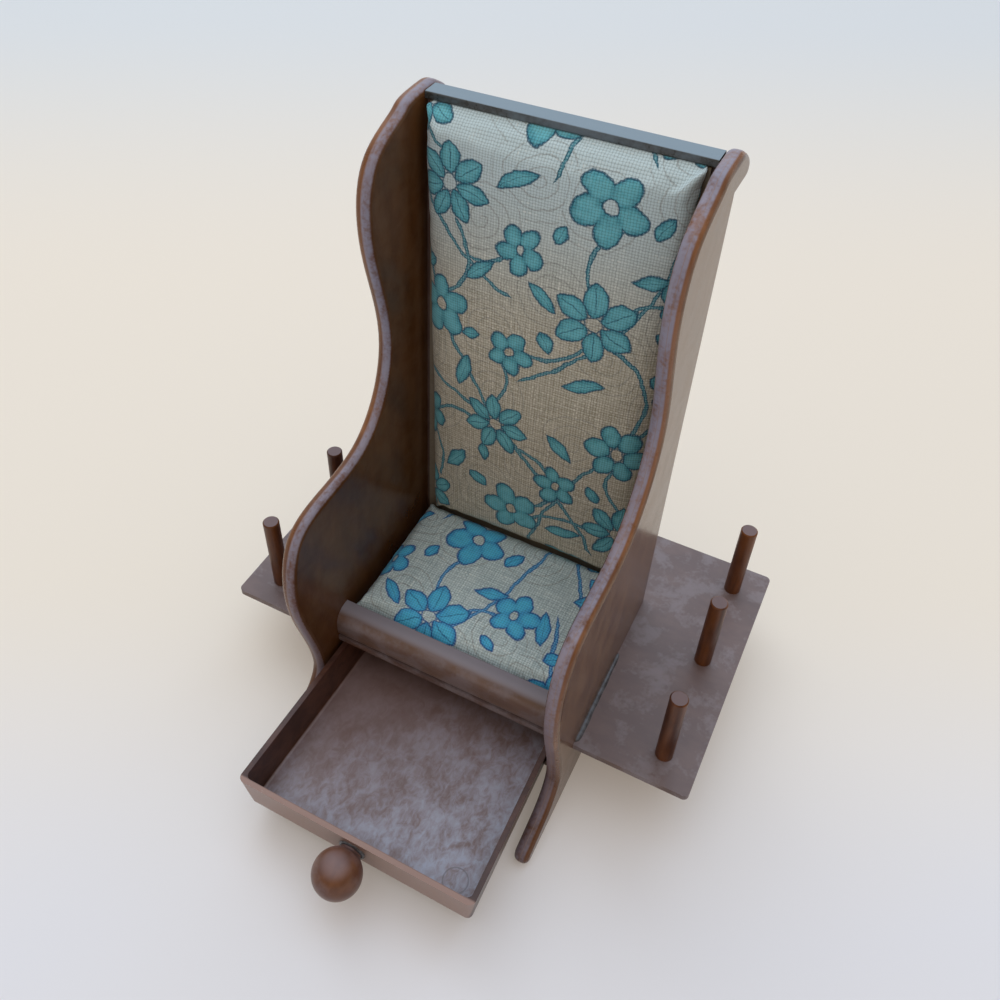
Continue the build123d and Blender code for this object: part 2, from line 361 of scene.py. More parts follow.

# %% [markdown]
# ## Pegs and knob
# These are turned or moulded from the same plastic with more of the orange-brown in it. The
# streaks run up the pegs.

# %% Amber plastic
# These bloom colours are also painted on the peg tops and the knob's top, as a painted sky
# reflection.
amber_finish = brown_plastic(
    "amber_plastic",
    flow=(1.0, 1.0, 0.14),
    dark=(0.045, 0.011, 0.002),
    light=(0.18, 0.06, 0.016),
    bloom=(0.2, 0.15, 0.155),
    bloom_amount=0.08,
    gloss=0.34,
    painted_top_sheen=0.85,
    ior=1.33,
)
knob_finish = brown_plastic(
    "knob_plastic",
    flow=(1.0, 0.6, 1.0),
    dark=(0.115, 0.042, 0.019),
    light=(0.18, 0.072, 0.032),
    bloom=(0.26, 0.2, 0.22),
    bloom_amount=0.3,
    gloss=0.26,
    painted_top_sheen=0.45,
    ior=1.45,
)
pegs = [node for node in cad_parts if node.startswith("spool_peg")]
for node in pegs:
    wear(node, amber_finish)
wear("drawer_knob", knob_finish)
print(len(pegs), "pegs")

# %% [markdown]
# ## The drawer's tray
# The tray was moulded thin, and its floor froze against the mould in cloudy patches and hazy
# streaks. Where the floor faces up it is painted lighter and mauve, and its haze and streaks are
# painted bluer and stronger towards the front right, a painted reflection of the sky. The front
# wall is painted lighter too, a painted glow of light from the floor. An ejector pin left a ring
# the size of a pencil's end near the front right corner, and a thumb has scratched the front over
# the years. The ring and the patches are drawn at their real size from the place on the tray.

# %% Tray plastic
EJECTOR_RING = (27.6 * MM, -69.8 * MM)
EJECTOR_RADIUS = 3.5 * MM
FLOOR_SKIN = (2.2 * MM, 3.2 * MM)
FRONT_WALL = (1.2 * MM, 2 * MM)
tray_low, tray_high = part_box("drawer_tray")


def tray_plastic():
    finish = Finish("tray_plastic")
    place = finish.place()
    x, y, z = finish.split(place)
    clouds = finish.noise(finish.scaled(place, 1.0, 0.75, 1.0), 130.0, 3.0, 0.5, 0.3)
    blotches = finish.noise(finish.scaled(place, 1.0, 0.7, 1.0), 400.0, 4.0, 0.6, 0.8)
    strokes = finish.noise(finish.scaled(place, 1.0, 0.4, 1.0), 900.0, 3.0, 0.6, 0.8)
    grain = finish.noise(place, 900.0, 2.0, 0.5)
    # This mask rises towards the front right, where the floor gets a painted reflection of the
    # sky.
    painted_sheen_toward_front = (x * 0.9 - y + clouds * 0.02).step(15 * MM, 105 * MM)
    up = finish.facing(2)
    on_floor = z.step(tray_low.z + FLOOR_SKIN[1], tray_low.z + FLOOR_SKIN[0]) * up.step(0.5, 0.9)
    haze = (clouds * 0.6 + blotches * 0.4).step(0.3, 0.72) * on_floor
    wisps_and_painted_sheen = (blotches * 0.45 + clouds * 0.3 + strokes * 0.25).step(0.34, 0.68)
    wisps_and_painted_sheen = wisps_and_painted_sheen * painted_sheen_toward_front * on_floor
    pigment = (blotches * 0.5 + clouds * 0.5).step(0.36, 0.66)
    colour = finish.mix(pigment, (0.045, 0.015, 0.008), (0.095, 0.037, 0.022))
    # The up-facing floor is painted lighter and mauve, and its haze and wisps bluer and stronger
    # towards the front right: a painted sky reflection over the plastic's own cloudy pattern.
    colour = finish.mix(on_floor * 0.8, colour, (0.22, 0.14, 0.125))
    colour = finish.mix(haze * (0.2 + painted_sheen_toward_front * 0.5), colour, (0.38, 0.32, 0.35))
    colour = finish.mix(wisps_and_painted_sheen * 0.75, colour, (0.44, 0.5, 0.64))
    offset = finish.vector("SUBTRACT", place, (*EJECTOR_RING, tray_low.z))
    flat = finish.scaled(offset, 1.0, 1.0, 0.0)
    ring = abs(finish.vector("LENGTH", flat, out=1) - EJECTOR_RADIUS)
    ring = ring.step(0.3 * MM, 0.1 * MM) * on_floor
    colour = finish.mix(ring * 0.5, colour, (0.12, 0.1, 0.11))
    front = y.step(tray_low.y + FRONT_WALL[1], tray_low.y + FRONT_WALL[0])
    # The front wall is painted lighter, a painted glow of light from the floor.
    colour = finish.mix(front * 0.75, colour, (0.4, 0.25, 0.2))
    nicks = finish.noise(finish.scaled(place, 0.5, 1.0, 1.6), 900.0, 2.0, 0.7, 2.5)
    nicks = nicks.step(0.66, 0.7) * front * x.step(-22 * MM, -30 * MM)
    colour = finish.mix(nicks * 0.6, colour, (0.45, 0.36, 0.3))
    height = blotches * 0.5 + grain * 0.2 + wisps_and_painted_sheen * 0.3 - ring * 0.8 - nicks * 0.5
    return finish.set(
        base_color=colour,
        roughness=0.3 + haze * 0.1 + wisps_and_painted_sheen * 0.08 + grain * 0.06,
        normal=finish.bump(height, 0.04 * MM, 0.4),
        ior=1.5,
    )


wear("drawer_tray", tray_plastic())
print("tray", [round(side / MM, 1) for side in tray_high - tray_low], "mm")

# %% [markdown]
# ## Card
# The pads are cloth wrapped over stiff card. Its grey-brown edge hardly shows, and its fibres are
# fine noise stretched along the sheet.

# %% Card
card = Finish("card")
card_place = card.place()
fibres = card.noise(card.scaled(card_place, 0.3, 1.0, 1.0), 2600.0, 4.0, 0.7)
card_finish = card.set(
    base_color=card.mix(fibres, (0.17, 0.14, 0.1), (0.32, 0.27, 0.2)),
    roughness=0.85 + fibres * 0.1,
    normal=card.bump(fibres, 0.05 * MM, 0.5),
)
for node in ("back_card", "seat_card"):
    wear(node, card_finish)
print("cards covered")

# %% [markdown]
# ## The printed cloth
# The cloth is a plain weave of unbleached slubby yarn, with a floral print in turquoise that has
# darker outlines, over faint tone-on-tone swirls. The print is drawn by the material itself, on
# the cloth's flat coordinates in millimetres, so it folds over the pads' edges with the cloth.
# Every motif lies in a repeat that is larger than the seat. A petal is the overlap of two circles
# when it is pointed and one stretched circle when it is round, and turning a point into the first
# petal's wedge draws all the petals at once.

# %% The print's motifs, in millimetres on the flat cloth
REPEAT = (78.0, 112.0)

# centre x, centre y, petals, where a petal starts, where it ends, half its width, turn
POINTED_FLOWERS = (
    (-23.0, 45.0, 7, 1.8, 9.6, 2.3, 0.2),
    (14.0, 21.0, 6, 2.0, 10.4, 2.9, 0.5),
    (-9.0, -17.0, 7, 1.7, 9.4, 2.2, 0.1),
    (27.0, -41.0, 7, 1.8, 9.8, 2.3, 0.35),
    (-31.0, -49.0, 6, 1.7, 8.4, 2.4, 0.6),
    (37.0, 7.0, 6, 1.6, 8.2, 2.3, 0.3),
)
# centre x, centre y, petals, how far out a petal's middle is, half its width, turn
ROUND_FLOWERS = (
    (14.0, 49.0, 5, 5.0, 3.1, 0.3),
    (-26.0, 13.0, 5, 4.8, 3.0, 0.9),
    (24.0, -14.0, 6, 5.2, 2.6, 0.1),
    (-3.0, -45.0, 5, 4.8, 3.0, 0.6),
    (-32.0, -22.0, 5, 4.2, 2.6, 0.2),
    (-5.0, 34.0, 5, 3.4, 2.1, 0.4),
    (34.0, 31.0, 5, 3.8, 2.4, 1.1),
    (9.0, -31.0, 5, 3.4, 2.1, 0.7),
    (-6.0, 6.0, 5, 3.4, 2.1, 0.1),
)
# centre x, centre y, direction, half its length, half its width
LEAVES = (
    (-7.0, 50.0, 0.5, 5.2, 1.9),
    (1.0, 24.0, 2.4, 4.6, 1.7),
    (-36.0, 31.0, 1.9, 5.2, 1.9),
    (-15.0, 26.0, 0.7, 4.8, 1.8),
    (25.0, 35.0, 0.2, 4.8, 1.8),
    (3.0, 12.0, 2.0, 3.0, 1.9),
    (-19.0, -4.0, 1.3, 5.0, 1.9),
    (13.0, 3.0, 0.3, 5.2, 1.8),
    (9.0, -18.0, -0.7, 4.8, 1.8),
    (-21.0, -34.0, 0.9, 4.8, 1.8),
    (12.0, -47.0, 0.2, 5.0, 1.8),
    (37.0, -25.0, 1.5, 4.6, 1.7),
    (-14.0, -38.0, 2.5, 3.0, 1.9),
    (-34.0, -2.0, 2.0, 4.6, 1.7),
    (26.0, 47.0, 1.0, 2.8, 1.8),
    (4.0, 40.0, 1.2, 2.8, 1.6),
    (-17.0, 8.0, 0.2, 2.6, 1.5),
    (-12.0, -28.0, 1.8, 2.6, 1.5),
    (32.0, -14.0, 0.4, 2.6, 1.5),
    (19.0, -30.0, 2.2, 2.6, 1.5),
    (-30.0, 24.0, 0.5, 2.4, 1.5),
    (31.0, 20.0, 2.6, 2.6, 1.5),
)
# from x, y, to x, y, how far the middle bows to the left of that line
STEMS = (
    (-21.0, 36.0, -23.0, 18.0, 4.0),
    (-17.0, 29.0, -8.0, 33.0, -2.0),
    (17.0, 44.0, 12.0, 30.0, -3.0),
    (12.0, 14.0, -4.0, 8.0, 3.5),
    (20.0, 15.0, 26.0, -9.0, 6.0),
    (21.0, 25.0, 31.0, 29.0, 2.0),
    (-8.0, 3.0, -9.0, -9.0, 2.0),
    (-17.0, -18.0, -29.0, -21.0, -2.5),
    (-3.0, -23.0, 7.0, -29.0, 2.0),
    (26.0, -17.0, 27.0, -33.0, -4.0),
    (-31.0, -26.0, -27.0, -42.0, 3.0),
    (1.0, -42.0, 8.0, -33.0, -2.0),
    (1.0, -48.0, 19.0, -43.0, 3.0),
    (-22.0, 52.0, -31.0, 59.0, 2.0),
    (-30.0, 8.0, -38.0, -6.0, -2.5),
    (33.0, 56.0, -2.0, 0.0, 8.0),
    (-33.0, 34.0, 10.0, -34.0, -7.0),
    (-30.0, -8.0, 20.0, -50.0, 6.0),
    (38.0, 0.0, 2.0, -58.0, -6.0),
    (-36.0, 56.0, -8.0, 22.0, -5.0),
)
flowers = len(POINTED_FLOWERS) + len(ROUND_FLOWERS)
print(flowers, "flowers,", len(LEAVES), "leaves,", len(STEMS), "stems")


# %% Distances from a point of the cloth to the drawn lines
def around(finish, cloth, x, y):
    """The point of the cloth, brought into the repeat that is centred on x, y."""
    high = (x + REPEAT[0] / 2, y + REPEAT[1] / 2, 1.0)
    low = (x - REPEAT[0] / 2, y - REPEAT[1] / 2, -1.0)
    return finish.vector("WRAP", cloth, high, low)


def first_petal(finish, cloth, x, y, petals, turn):
    """How far out the point is, and where it is in the wedge of the first petal."""
    out = finish.vector("SUBTRACT", around(finish, cloth, x, y), (x, y, 0.0))
    along, across, _ = finish.split(out)
    distance = finish.vector("LENGTH", out, out=1)
    half = math.pi / petals
    angle = (across.math("ARCTAN2", along) + turn).math("WRAP", half, -half)
    along = distance * angle.math("COSINE")
    across = abs(distance * angle.math("SINE"))
    return distance, along, across


def to_point(finish, along, across, x, y):
    here = finish.node("CombineXYZ", {}, {0: along, 1: across})
    return finish.vector("DISTANCE", here, (x, y, 0.0), out=1)


def nearest(shapes):
    """The least of several distances."""
    best = shapes[0]
    for shape in shapes[1:]:
        best = best.least(shape)
    return best


def drawn_print(finish, cloth):
    """Distances to the petals and leaves, the flowers' eyes, the stems and the veins."""
    petals, eyes, stems, veins = [], [], [], []
    for x, y, count, start, end, half_width, turn in POINTED_FLOWERS:
        distance, along, across = first_petal(finish, cloth, x, y, count, turn)
        half_length = (end - start) / 2
        bend = (half_length**2 + half_width**2) / (2 * half_width)
        middle = (start + end) / 2
        petal = to_point(finish, along, across, middle, half_width - bend) - bend
        petals.append(petal)
        eyes.append(distance - start * 1.05)
        veins.append(across.most(petal + 0.9))
    for x, y, count, out, half_width, turn in ROUND_FLOWERS:
        distance, along, across = first_petal(finish, cloth, x, y, count, turn)
        petals.append(to_point(finish, along * 0.8, across, out * 0.8, 0.0) - half_width)
        eyes.append(distance - out * 0.34)
    for x, y, direction, half_length, half_width in LEAVES:
        point = around(finish, cloth, x, y)
        bend = (half_length**2 + half_width**2) / (2 * half_width)
        aside = Vector((-math.sin(direction), math.cos(direction))) * (bend - half_width)
        left = finish.vector("DISTANCE", point, (x + aside.x, y + aside.y, 0.0), out=1)
        right = finish.vector("DISTANCE", point, (x - aside.x, y - aside.y, 0.0), out=1)
        leaf = left.most(right) - bend
        petals.append(leaf)
        veins.append(abs(left - right).most(leaf + 0.5))
    for x0, y0, x1, y1, bow in STEMS:
        start, end = Vector((x0, y0)), Vector((x1, y1))
        half = (end - start).length / 2
        radius = (half**2 + bow**2) / (2 * abs(bow))
        side = Vector((y0 - y1, x1 - x0)).normalized() * math.copysign(1.0, bow)
        middle = (start + end) / 2
        centre = middle - side * (radius - abs(bow))
        point = around(finish, cloth, middle.x, middle.y)
        arc = finish.vector("DISTANCE", point, (*centre, 0.0), out=1) - radius
        ahead = finish.vector("DOT_PRODUCT", point, (*side, 0.0), out=1)
        stems.append(abs(arc).most(middle.dot(side) - ahead))
    return nearest(petals), nearest(eyes), nearest(stems), nearest(veins)


print("the print can be drawn")

# %% [markdown]
# ## Weave, swirls and ink
# A plain weave is a chequerboard of small pillows: where the warp lies on top, the pillow shows a
# warp yarn, and next to it a weft yarn. Each yarn has its own tone, and some swell into slubs. The
# hollows between the yarns get painted shade, and the tops of the yarns a painted highlight.
# The ink sits on the yarns, so their tones show through it. Towards its top the back's cloth is
# painted a cool grey, a painted light of the sky that the top curves up to face.


# %% Printed cloth
def shade(red, green, blue):
    """A colour from the 0 to 255 numbers of a paint chart, as linear light."""
    return tuple(
        ((part / 255 + 0.055) / 1.055) ** 2.4 if part > 10 else part / 255 / 12.92
        for part in (red, green, blue)
    )


YARN_SPACING = 0.8
PRINT_SCALE = 0.86
SWIRLS_PER_MM = 0.048
SWIRL_PITCH = 0.13


def shaken(finish, cloth, scale, most):
    """How far noise pushes a point of the drawing to each side, so that no line is perfect."""
    push = finish.noise(cloth, scale, 2.0, out="Color")
    return finish.vector("MULTIPLY_ADD", push, (most * 2,) * 3, (-most,) * 3)


def printed_cloth(name, ground_tones, ink_tones, line_tone):
    finish = Finish(name)
    cloth = finish.node("UVMap", {"uv_map": "cloth"}, {})
    u, v, _ = finish.split(cloth)
    drawn = finish.vector("ADD", cloth, shaken(finish, cloth, 0.09, 1.7))
    drawn = finish.vector("ADD", drawn, shaken(finish, cloth, 0.55, 0.45))
    drawn = finish.scaled(drawn, PRINT_SCALE, PRINT_SCALE, 1.0)
    petals, eyes, stems, veins = drawn_print(finish, drawn)

    drift = finish.noise(cloth, 0.6, 3.0, 0.6) * 0.5
    warp = ((u + drift) * (math.pi / YARN_SPACING)).math("SINE")
    weft = ((v - drift) * (math.pi / YARN_SPACING)).math("SINE")
    warp_on_top = (warp * weft).step(-0.12, 0.12)
    beside_warp, beside_weft = abs(warp), abs(weft)
    warp_yarn = beside_warp * (0.55 + beside_weft * 0.45)
    weft_yarn = beside_weft * (0.55 + beside_warp * 0.45)
    pillow = (warp_on_top * warp_yarn + (1 - warp_on_top) * weft_yarn).math("SQRT")
    warp_tone = finish.noise(finish.scaled(cloth, 1.5, 0.1, 1.0), 1.0, 2.0, 0.6)
    weft_tone = finish.noise(finish.scaled(cloth, 0.08, 1.5, 1.0), 1.0, 2.0, 0.6)
    tone = warp_on_top * warp_tone + (1 - warp_on_top) * weft_tone
    slub = weft_tone.step(0.62, 0.74) * (1 - warp_on_top)
    slub = slub + warp_tone.step(0.64, 0.74) * warp_on_top

    flat = {"voronoi_dimensions": "2D"}
    spread = {"Vector": drawn, "Scale": SWIRLS_PER_MM}
    curl = finish.node("TexVoronoi", flat, spread)
    spot = finish.node("TexVoronoi", flat, spread, "Position")
    toward = finish.vector("SUBTRACT", finish.scaled(drawn, 1.0, 1.0, 0.0), spot)
    toward_x, toward_y, _ = finish.split(toward)
    turns = curl * (1 / SWIRL_PITCH)
    turns = turns + toward_y.math("ARCTAN2", toward_x) * (1 / (2 * math.pi))
    swirl = abs(turns.math("FRACT") - 0.5).step(0.1, 0.03) * curl.step(0.6, 0.45)

    ground = finish.mix(tone.step(0.3, 0.7), *ground_tones)
    # Towards the top of the back the ground is painted cool grey, a painted sky light where the
    # cloth curves up.
    painted_top_sky_light = finish.split(finish.place())[2].step(115 * MM, 172 * MM)
    ground = finish.mix(painted_top_sky_light * 0.85, ground, shade(204, 230, 238))
    ground = finish.mix(slub * 0.4, ground, shade(246, 244, 234))
    ground = finish.mix(swirl * 0.4, ground, shade(128, 130, 124))
    wash = finish.noise(cloth, 0.35, 3.0, 0.6)
    depth = petals.step(-1.6, -0.1) * 0.25 + wash * 0.7
    ink = finish.mix(depth.step(0.25, 0.75), *ink_tones)
    inked = petals.step(0.1, -0.1) * eyes.step(-0.1, 0.1)
    clear = petals.step(-0.1, 0.1) * eyes.step(-0.1, 0.1)
    stem = stems.step(0.6, 0.45) * clear
    lines = abs(petals).step(0.34, 0.14) * eyes.step(-0.1, 0.1)
    lines = lines.most(abs(eyes).step(0.28, 0.12)).most(veins.step(0.22, 0.08) * 0.8)
    lines = lines.most(stem * stems.step(0.18, 0.34) * 0.9)
    worn = 0.8 + tone * 0.3
    colour = finish.mix(inked * worn * 0.95, ground, ink)
    colour = finish.mix(stem * 0.85, colour, ink_tones[1])
    colour = finish.mix(lines * worn * 0.9, colour, line_tone)
    # The hollows between the yarns are darkened, a painted shade.
    painted_weave_shade = (1 - pillow).step(0.2, 0.75) * 0.7
    colour = finish.mix(painted_weave_shade, colour, finish.vector("MULTIPLY", colour, (0.44, 0.41, 0.38)))
    # The tops of the yarns are lightened, a painted highlight.
    crown = pillow.step(0.8, 1.0)
    colour = finish.mix(crown * (1 - inked) * 0.25, colour, (0.85, 0.87, 0.83))
    colour = finish.mix(crown * inked * 0.3, colour, (0.2, 0.6, 0.74))
    height = pillow * 0.8 + tone * 0.35 + slub * 0.5
    return finish.set(
        base_color=colour,
        roughness=0.82 + tone * 0.12,
        sheen_weight=0.12,
        normal=finish.bump(height, 0.12 * MM, 0.7),
    )


# Both pads share one cloth. The back's keeps its beige, and the seat's copy is painted lighter and
# bluer, ink too, as painted sky light on the seat that faces up.
back_cloth = printed_cloth(
    "printed_cloth_back",
    ground_tones=(shade(164, 157, 133), shade(214, 209, 190)),
    ink_tones=(shade(102, 196, 208), shade(26, 140, 158)),
    line_tone=shade(0, 78, 106),
)
# The seat's copy of the cloth is painted lighter and bluer, ink too, a painted sky light on the
# seat that faces up.
seat_cloth = printed_cloth(
    "printed_cloth_seat",
    ground_tones=(shade(172, 196, 200), shade(226, 242, 242)),
    ink_tones=(shade(66, 208, 252), shade(0, 154, 222)),
    line_tone=shade(0, 84, 160),
)
print(len(back_cloth.node_tree.nodes), "nodes in the printed cloth")

# %% [markdown]
# ## Pads
# A pad is foam on a card with the cloth drawn over it and glued underneath, so it is full in the
# middle, its sides pull in towards the card, and the spare cloth at a corner gathers. Here the
# flat cloth is a grid that is folded over the pad. A wedge of cloth at each corner closes up
# round the corner, which is where the real one gathers. Then Blender's cloth simulation presses
# it out from inside with the rim held, at ten times its size, because the solver works best with
# pieces of that size.

# %% A flat sheet of cloth folded over a pad
CELL = 1.4
SIMULATION_SCALE = 0.01


def corner_way(aside, ahead):
    """The direction in which cloth past a corner points, from the two margins."""
    if aside + ahead == 0:
        return 1.0, 0.0
    if aside >= ahead:
        angle = math.pi / 4 * ahead / aside
    else:
        angle = math.pi / 2 - math.pi / 4 * aside / ahead
    return math.cos(angle), math.sin(angle)


class Pad:
    """A pad's measures in millimetres, on axes of its own: x across, y along, z up off the card.

    front and back are its heights at the two ends, crown is the rise in its middle, roll is the
    radius of its upper edge, and the tucks are how far the sides and the ends pull in below.
    left_taper narrows its left side towards the front end.
    """

    def __init__(self, half_width, half_length, front, back, crown, roll, tuck, end_tuck):
        self.half_width = half_width
        self.half_length = half_length
        self.front = front
        self.back = back
        self.crown = crown
        self.roll = roll
        self.tuck = tuck
        self.end_tuck = end_tuck
        self.height = max(front, back)
        self.margin = roll * math.pi / 2 + self.height - roll
        self.left_taper = 0.0
        self.flat_x = half_width - roll
        self.flat_y = half_length - roll

    def fold(self, x, y):
        """Where a point of the flat cloth lies, and how far over the edge it is, from 0 to 1."""
        aside = max(abs(x) - self.flat_x, 0.0)
        ahead = max(abs(y) - self.flat_y, 0.0)
        way_x, way_y = corner_way(aside, ahead)
        square = max(way_x, way_y)
        way_x, way_y = way_x / square, way_y / square
        over = min(max(aside, ahead), self.margin)
        if over < self.roll * math.pi / 2:
            out = self.roll * math.sin(over / self.roll)
            down = self.roll * (1 - math.cos(over / self.roll))
        else:
            down = self.roll + over - self.roll * math.pi / 2
            low = (down - self.roll) / (self.height - self.roll)
            tuck = self.tuck * way_x**2 + self.end_tuck * way_y**2
            out = self.roll - tuck * low**1.5
        place_x = math.copysign(min(abs(x), self.flat_x) + out * way_x, x)
        place_y = math.copysign(min(abs(y), self.flat_y) + out * way_y, y)
        share = (place_y / self.half_length + 1) / 2
        if place_x < 0:
            place_x *= 1 - self.left_taper * (1 - share) ** 1.2
        edge = self.front + (self.back - self.front) * min(max(share, 0.0), 1.0)
        across = max(1 - (place_x / self.half_width) ** 2, 0.0)
        along = max(1 - abs(place_y / self.half_length) ** 3, 0.0)
        rise = self.crown * across**0.8 * along**0.6
        place_z = edge * (1 - down / self.height) + rise
        return Vector((place_x, place_y, place_z)), over / self.margin


def folded_sheet(name, pad, cut_from):
    """The cloth folded over the pad, with its flat coordinates in the UV map."""
    sheet = bmesh.new()
    reach_x, reach_y = pad.flat_x + pad.margin, pad.flat_y + pad.margin
    columns, rows = round(2 * reach_x / CELL), round(2 * reach_y / CELL)
    bmesh.ops.create_grid(sheet, x_segments=columns, y_segments=rows, size=1.0)
    bmesh.ops.scale(sheet, vec=(reach_x, reach_y, 1.0), verts=sheet.verts)
    flat = sheet.loops.layers.uv.new("cloth")
    held = sheet.verts.layers.deform.verify()
    for face in sheet.faces:
        for loop in face.loops:
            loop[flat].uv = loop.vert.co.xy + Vector(cut_from)
    for vert in sheet.verts:
        vert.co, over = pad.fold(vert.co.x, vert.co.y)
        vert[held][0] = min(max((over - 0.7) / 0.3, 0.0), 1.0)
        vert.co *= SIMULATION_SCALE
    bmesh.ops.recalc_face_normals(sheet, faces=sheet.faces)
    if sum(face.normal.z for face in sheet.faces) < 0:
        bmesh.ops.reverse_faces(sheet, faces=sheet.faces)
    mesh = bpy.data.meshes.new(name)
    sheet.to_mesh(mesh)
    sheet.free()
    piece = bpy.data.objects.new(name, mesh)
    scene.collection.objects.link(piece)
    piece.vertex_groups.new(name="held")
    return piece


CARD = 1.2 * MM
back_low, back_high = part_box("back_card")
back_bottom, back_top = (corner.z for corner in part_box("back_pad"))
seat_low, seat_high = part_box("seat_pad")
card_slope = (back_high.y - CARD - back_low.y) / (back_high.z - back_low.z)
back_start = Vector((0, back_low.y + card_slope * (back_bottom - back_low.z), back_bottom))
back_along = Vector((0, card_slope, 1)) * (back_top - back_bottom)
seat_along = Vector((0, seat_high.y + 0.3 * MM - seat_low.y, 0))
BACK_EXTRA = 0.75
BACK_SHIFT = 0.45
back = Pad(
    half_width=36.5,
    half_length=back_along.length / MM / 2 + BACK_EXTRA,
    front=3.5,
    back=4.4,
    crown=2.1,
    roll=1.8,
    tuck=2.2,
    end_tuck=0.0,
)
back.left_taper = 0.09
seat = Pad(
    half_width=36.2,
    half_length=seat_along.length / MM / 2,
    front=8.0,
    back=10.3,
    crown=1.0,
    roll=3.0,
    tuck=1.6,
    end_tuck=0.6,
)
back_pad = folded_sheet("back_pad_cloth", back, (0.0, 0.0))
seat_pad = folded_sheet("seat_pad_cloth", seat, (28.0, 43.0))
print(len(back_pad.data.vertices), "and", len(seat_pad.data.vertices), "points in the two cloths")

# %% Press the cloth out from inside
LAST_FRAME = 20
MOST_MOVED = {"back_pad_cloth": 1.6, "seat_pad_cloth": 1.2}


def inflate(pieces):
    starts = {}
    for piece in pieces:
        starts[piece.name] = [vert.co.copy() for vert in piece.data.vertices]
        cloth = piece.modifiers.new("cloth", "CLOTH")
        cloth.settings.vertex_group_mass = "held"
        cloth.settings.quality = 6
        cloth.settings.mass = 0.05
        cloth.settings.tension_stiffness = 12
        cloth.settings.compression_stiffness = 12
        cloth.settings.shear_stiffness = 4
        cloth.settings.bending_stiffness = 0.3
        cloth.settings.shrink_min = -0.015
        cloth.settings.shrink_max = -0.015
        cloth.settings.use_pressure = True
        cloth.settings.uniform_pressure_force = 5.0
        cloth.settings.effector_weights.gravity = 0.0
    for step in range(1, LAST_FRAME + 1):
        scene.frame_set(step)
    graph = bpy.context.evaluated_depsgraph_get()
    for piece in pieces:
        pressed = bpy.data.meshes.new_from_object(piece.evaluated_get(graph))
        piece.modifiers.clear()
        piece.data = pressed
        most = MOST_MOVED[piece.name] * SIMULATION_SCALE
        moved = 0.0
        for vert, start in zip(pressed.vertices, starts[piece.name]):
            shift = vert.co - start
            if shift.length > most:
                shift.length = most
            vert.co = start + shift
            moved = max(moved, shift.length)
        print(piece.name, "moved up to", round(moved / SIMULATION_SCALE, 2), "mm")
    scene.frame_set(1)


inflate([back_pad, seat_pad])

# %% [markdown]
# ## Gathers, and the pads in the chair
# Where the cloth turns over an edge it puckers a little between the glued spots, most of all at
# the corners. So one level of subdivision first smooths the pressed cloth, and then dents are
# pressed in along its outline, with noise that follows the outline. At the end its underside is
# closed and it goes to its card.

# %% Pucker, place and close
PUCKER = 0.45
PUCKER_REACH = 2.6
CORNER_REACH = 12
UNDER_EDGE = 1.5
back_up = back_along.normalized()
back_out = Vector((1, 0, 0)).cross(back_up)
BACK_MIDDLE = back_start + back_along / 2 - back_up * BACK_SHIFT * MM
SEAT_MIDDLE = Vector((0, seat_low.y, seat_low.z)) + seat_along / 2
back_axes = Matrix((Vector((1, 0, 0)), back_up, back_out)).transposed().to_4x4()


def finish_pad(piece, pad, material, axes, middle, seed):
    smooth = piece.modifiers.new("smooth", "SUBSURF")
    smooth.levels = smooth.render_levels = 1
    graph = bpy.context.evaluated_depsgraph_get()
    smoothed = bpy.data.meshes.new_from_object(piece.evaluated_get(graph))
    piece.modifiers.clear()
    piece.data = smoothed
    cloth = bmesh.new()
    cloth.from_mesh(piece.data)
    for vert in cloth.verts:
        vert.co /= SIMULATION_SCALE
    cloth.normal_update()
    for vert in cloth.verts:
        near_x = pad.half_width - abs(vert.co.x)
        near_y = pad.half_length - abs(vert.co.y)
        near = min(near_x, near_y)
        above_card = min(vert.co.z / UNDER_EDGE, 1.0)
        corner = max(0.0, 1 - math.hypot(near_x, near_y) / CORNER_REACH)
        edge = math.exp(-max(near - 0.8, 0.0) / PUCKER_REACH) * above_card
        along = vert.co.y if near_x < near_y else vert.co.x
        wave = noise.noise(Vector((along * 0.16, 0.07 * vert.co.z, seed)))
        fold = noise.noise(Vector((along * 0.42, 0.1 * near, seed + 7)))
        slack = noise.noise(Vector((vert.co.x * 0.045, vert.co.y * 0.045, seed + 3)))
        dent = edge * (wave * 0.7 + fold * 0.55 * (0.5 + corner * 2)) + slack * 0.5
        vert.co += vert.normal * PUCKER * dent * above_card
    rim = [edge for edge in cloth.edges if edge.is_boundary]
    under = bmesh.ops.extrude_edge_only(cloth, edges=rim)["geom"]
    inner = [part for part in under if isinstance(part, bmesh.types.BMVert)]
    bmesh.ops.scale(cloth, vec=(0.9, 0.95, 1.0), verts=inner)
    loop = [part for part in under if isinstance(part, bmesh.types.BMEdge) and part.is_boundary]
    under = bmesh.ops.edgeloop_fill(cloth, edges=loop)["faces"]
    bmesh.ops.triangulate(cloth, faces=under)
    bmesh.ops.recalc_face_normals(cloth, faces=cloth.faces)
    bmesh.ops.scale(cloth, vec=(MM, MM, MM), verts=cloth.verts)
    bmesh.ops.transform(cloth, matrix=Matrix.Translation(middle) @ axes, verts=cloth.verts)
    for face in cloth.faces:
        face.smooth = True
    cloth.to_mesh(piece.data)
    cloth.free()
    piece.data.materials.append(material)
    return piece


finish_pad(back_pad, back, back_cloth, back_axes, BACK_MIDDLE, 3.0)
finish_pad(seat_pad, seat, seat_cloth, Matrix.Identity(4), SEAT_MIDDLE, 11.0)
for piece, node, fill in ((back_pad, "back_pad", 0.7), (seat_pad, "seat_pad", 0.8)):
    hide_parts(node)
    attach(piece, "chair")
print("pads placed")

